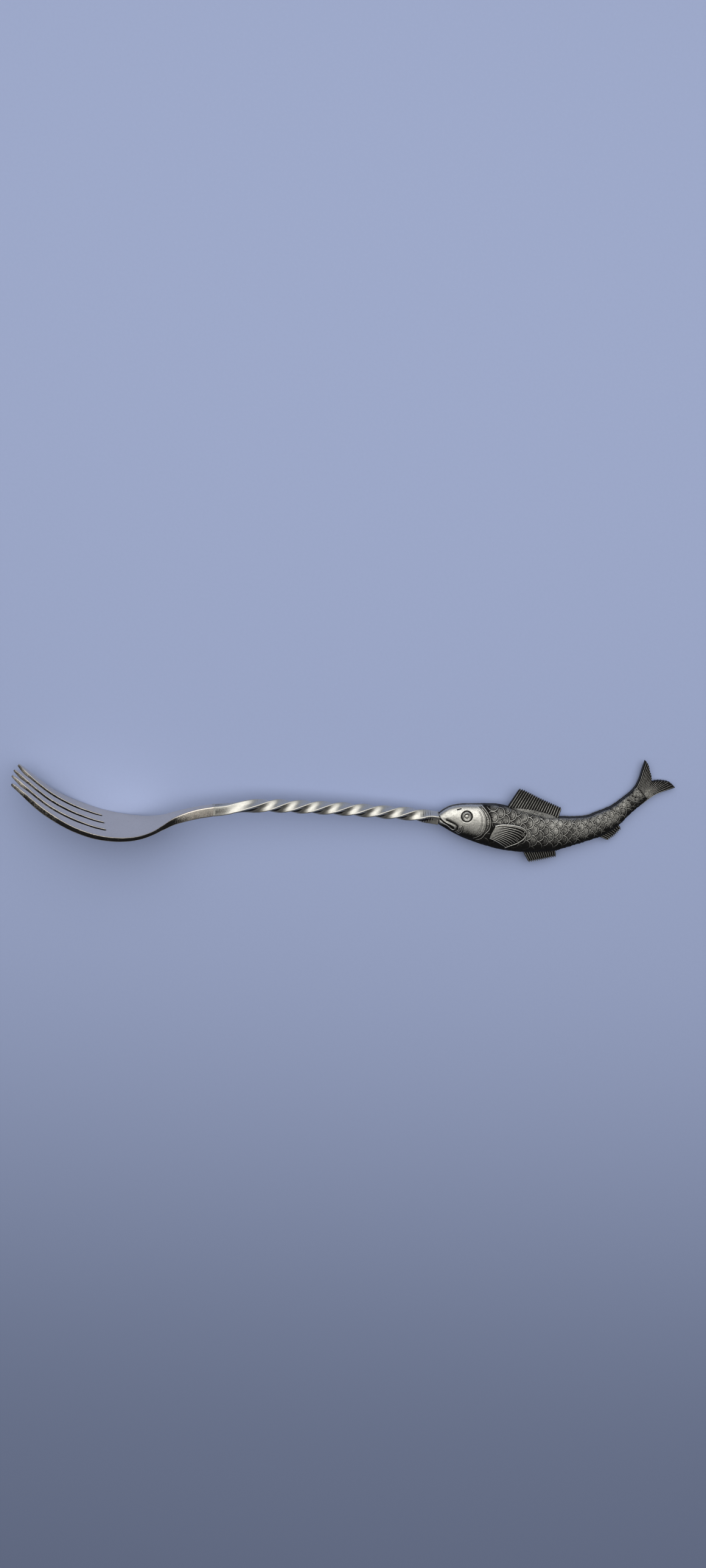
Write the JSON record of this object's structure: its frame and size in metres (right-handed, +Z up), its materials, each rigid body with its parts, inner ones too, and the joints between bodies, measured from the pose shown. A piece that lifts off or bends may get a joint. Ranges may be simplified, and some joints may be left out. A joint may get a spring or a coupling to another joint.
{
  "type": "sardine fork",
  "caption": "Small serving fork with a curved four-tined head, a twisted square stem and a fish-shaped handle end, lying on its side.",
  "frame": {"origin": "centre of the bounding box's footprint, on the table that the fork rests on", "axes": "+X along the fork from the tines to the fish's tail, +Y to the hollow side of the head, +Z up"},
  "size_m": [0.1398, 0.0242, 0.0175],
  "materials": {
    "head_silver": "worn polished silver with fine scratches",
    "stem_silver": "worn silver, tarnished in the grooves",
    "cast_silver": "cast silver with dark oxide in the recesses",
    "solder": "dark grey hard solder"
  },
  "bodies": {
    "root": {"fork_head": "head_silver", "neck_solder": "solder", "twisted_stem": "stem_silver", "mouth_solder": "solder", "fish_near_half": "cast_silver", "fish_far_half": "cast_silver", "fish_seam_solder": "solder"}
  },
  "joints": []
}
